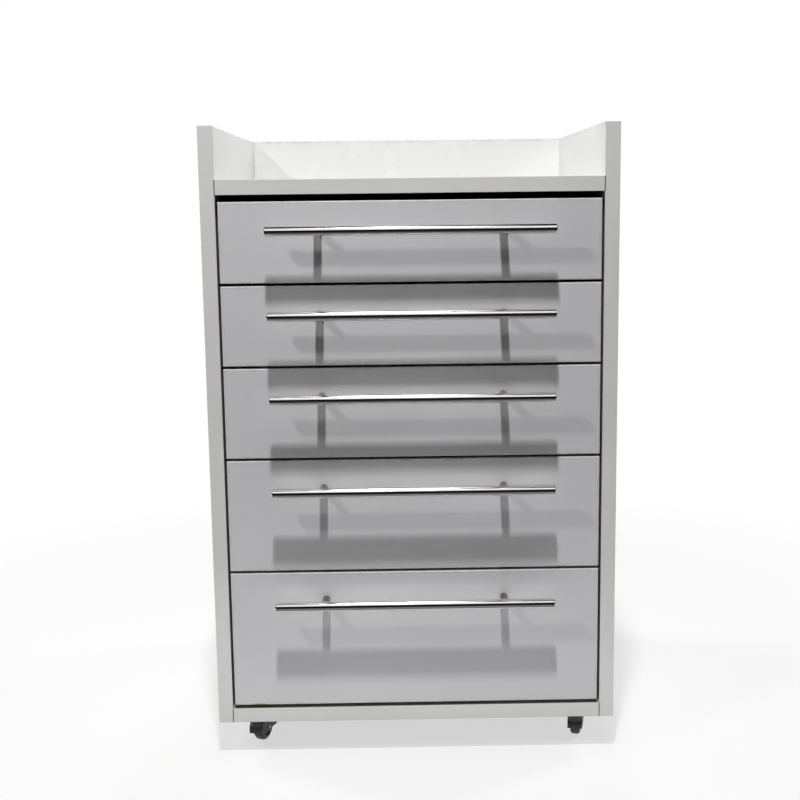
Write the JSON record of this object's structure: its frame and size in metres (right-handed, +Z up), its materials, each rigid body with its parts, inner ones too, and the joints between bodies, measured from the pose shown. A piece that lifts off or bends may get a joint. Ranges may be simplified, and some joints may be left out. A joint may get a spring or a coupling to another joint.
{
  "type": "drawer cabinet",
  "caption": "Mobile drawer cabinet on swivel casters: white board carcass, full-width inset drawers with long bar handles on telescopic runners, and a raised tray on top.",
  "frame": {"origin": "on the floor, under the middle of the whole object's box, handles included", "axes": "+Z up, -Y out of the drawer fronts, +X to the right seen from the front"},
  "size_m": [0.506, 0.485, 0.795],
  "materials": {
    "carcass_board": "white melamine faced board, semi-gloss",
    "front_board": "white melamine faced board, semi-gloss",
    "edge_band": "white edge band, semi-gloss",
    "back_sheet": "white lacquered hardboard",
    "box_board": "white melamine faced board, matt",
    "box_sheet": "white lacquered hardboard",
    "handle_steel": "polished steel",
    "screw_steel": "zinc plated",
    "plug_plastic": "white moulded",
    "runner_steel": "zinc plated, rolled",
    "caster_steel": "zinc plated, pressed",
    "caster_plastic": "black moulded",
    "wheel_plastic": "black moulded"
  },
  "bodies": {
    "root": {"side_panel_left": "carcass_board", "side_panel_right": "carcass_board", "top_board": "carcass_board", "bottom_board": "carcass_board", "tray_upstand": "carcass_board", "back_sheet": "back_sheet", "carcass_edge_band": "edge_band", "carcass_screws": "screw_steel", "screw_plugs": "plug_plastic", "runner_cabinet_members": "runner_steel", "runner_screws": "screw_steel", "caster_plates": "caster_steel", "caster_plate_screws": "screw_steel"},
    "drawer_1": {"drawer_front_1": "front_board", "drawer_sides_1": "box_board", "drawer_ends_1": "box_board", "drawer_bottom_1": "box_sheet", "handle_1": "handle_steel", "runner_drawer_members_1": "runner_steel"},
    "runner_1": {"runner_middle_members_1": "runner_steel"},
    "drawer_2": {"drawer_front_2": "front_board", "drawer_sides_2": "box_board", "drawer_ends_2": "box_board", "drawer_bottom_2": "box_sheet", "handle_2": "handle_steel", "runner_drawer_members_2": "runner_steel"},
    "runner_2": {"runner_middle_members_2": "runner_steel"},
    "drawer_3": {"drawer_front_3": "front_board", "drawer_sides_3": "box_board", "drawer_ends_3": "box_board", "drawer_bottom_3": "box_sheet", "handle_3": "handle_steel", "runner_drawer_members_3": "runner_steel"},
    "runner_3": {"runner_middle_members_3": "runner_steel"},
    "drawer_4": {"drawer_front_4": "front_board", "drawer_sides_4": "box_board", "drawer_ends_4": "box_board", "drawer_bottom_4": "box_sheet", "handle_4": "handle_steel", "runner_drawer_members_4": "runner_steel"},
    "runner_4": {"runner_middle_members_4": "runner_steel"},
    "drawer_5": {"drawer_front_5": "front_board", "drawer_sides_5": "box_board", "drawer_ends_5": "box_board", "drawer_bottom_5": "box_sheet", "handle_5": "handle_steel", "runner_drawer_members_5": "runner_steel"},
    "runner_5": {"runner_middle_members_5": "runner_steel"},
    "swivel_front_left": {"caster_housing_front_left": "caster_plastic"},
    "wheel_front_left": {"caster_wheel_front_left": "wheel_plastic", "caster_axle_front_left": "caster_steel"},
    "swivel_front_right": {"caster_housing_front_right": "caster_plastic"},
    "wheel_front_right": {"caster_wheel_front_right": "wheel_plastic", "caster_axle_front_right": "caster_steel"},
    "swivel_rear_left": {"caster_housing_rear_left": "caster_plastic"},
    "wheel_rear_left": {"caster_wheel_rear_left": "wheel_plastic", "caster_axle_rear_left": "caster_steel"},
    "swivel_rear_right": {"caster_housing_rear_right": "caster_plastic"},
    "wheel_rear_right": {"caster_wheel_rear_right": "wheel_plastic", "caster_axle_rear_right": "caster_steel"}
  },
  "joints": [
    {"name": "drawer_1_slide", "type": "slide", "parent": "root", "child": "drawer_1", "axis": [0, -1, 0], "range_m": [0, 0.4]},
    {"name": "runner_1_slide", "type": "slide", "parent": "root", "child": "runner_1", "axis": [0, -1, 0], "range_m": [0, 0.2]},
    {"name": "drawer_2_slide", "type": "slide", "parent": "root", "child": "drawer_2", "axis": [0, -1, 0], "range_m": [0, 0.4]},
    {"name": "runner_2_slide", "type": "slide", "parent": "root", "child": "runner_2", "axis": [0, -1, 0], "range_m": [0, 0.2]},
    {"name": "drawer_3_slide", "type": "slide", "parent": "root", "child": "drawer_3", "axis": [0, -1, 0], "range_m": [0, 0.4]},
    {"name": "runner_3_slide", "type": "slide", "parent": "root", "child": "runner_3", "axis": [0, -1, 0], "range_m": [0, 0.2]},
    {"name": "drawer_4_slide", "type": "slide", "parent": "root", "child": "drawer_4", "axis": [0, -1, 0], "range_m": [0, 0.4]},
    {"name": "runner_4_slide", "type": "slide", "parent": "root", "child": "runner_4", "axis": [0, -1, 0], "range_m": [0, 0.2]},
    {"name": "drawer_5_slide", "type": "slide", "parent": "root", "child": "drawer_5", "axis": [0, -1, 0], "range_m": [0, 0.4]},
    {"name": "runner_5_slide", "type": "slide", "parent": "root", "child": "runner_5", "axis": [0, -1, 0], "range_m": [0, 0.2]},
    {"name": "swivel_front_left_turn", "type": "hinge", "parent": "root", "child": "swivel_front_left", "pos_m": [-0.209, -0.1725, 0.045], "axis": [0, 0, 1], "continuous": true},
    {"name": "wheel_front_left_roll", "type": "hinge", "parent": "swivel_front_left", "child": "wheel_front_left", "pos_m": [-0.20301, -0.15767, 0.0175], "axis": [0.9272, -0.3746, 0], "continuous": true},
    {"name": "swivel_front_right_turn", "type": "hinge", "parent": "root", "child": "swivel_front_right", "pos_m": [0.209, -0.1725, 0.045], "axis": [0, 0, 1], "continuous": true},
    {"name": "wheel_front_right_roll", "type": "hinge", "parent": "swivel_front_right", "child": "wheel_front_right", "pos_m": [0.21233, -0.15685, 0.0175], "axis": [0.9781, -0.2079, 0], "continuous": true},
    {"name": "swivel_rear_left_turn", "type": "hinge", "parent": "root", "child": "swivel_rear_left", "pos_m": [-0.209, 0.2005, 0.045], "axis": [0, 0, 1], "continuous": true},
    {"name": "wheel_rear_left_roll", "type": "hinge", "parent": "swivel_rear_left", "child": "wheel_rear_left", "pos_m": [-0.20486, 0.21595, 0.0175], "axis": [0.9659, -0.2588, 0], "continuous": true},
    {"name": "swivel_rear_right_turn", "type": "hinge", "parent": "root", "child": "swivel_rear_right", "pos_m": [0.209, 0.2005, 0.045], "axis": [0, 0, 1], "continuous": true},
    {"name": "wheel_rear_right_roll", "type": "hinge", "parent": "swivel_rear_right", "child": "wheel_rear_right", "pos_m": [0.21314, 0.21595, 0.0175], "axis": [0.9659, -0.2588, 0], "continuous": true}
  ],
  "couplings": [
    {"joint": "runner_1_slide", "follows": "drawer_1_slide", "ratio": 0.5},
    {"joint": "runner_2_slide", "follows": "drawer_2_slide", "ratio": 0.5},
    {"joint": "runner_3_slide", "follows": "drawer_3_slide", "ratio": 0.5},
    {"joint": "runner_4_slide", "follows": "drawer_4_slide", "ratio": 0.5},
    {"joint": "runner_5_slide", "follows": "drawer_5_slide", "ratio": 0.5}
  ]
}
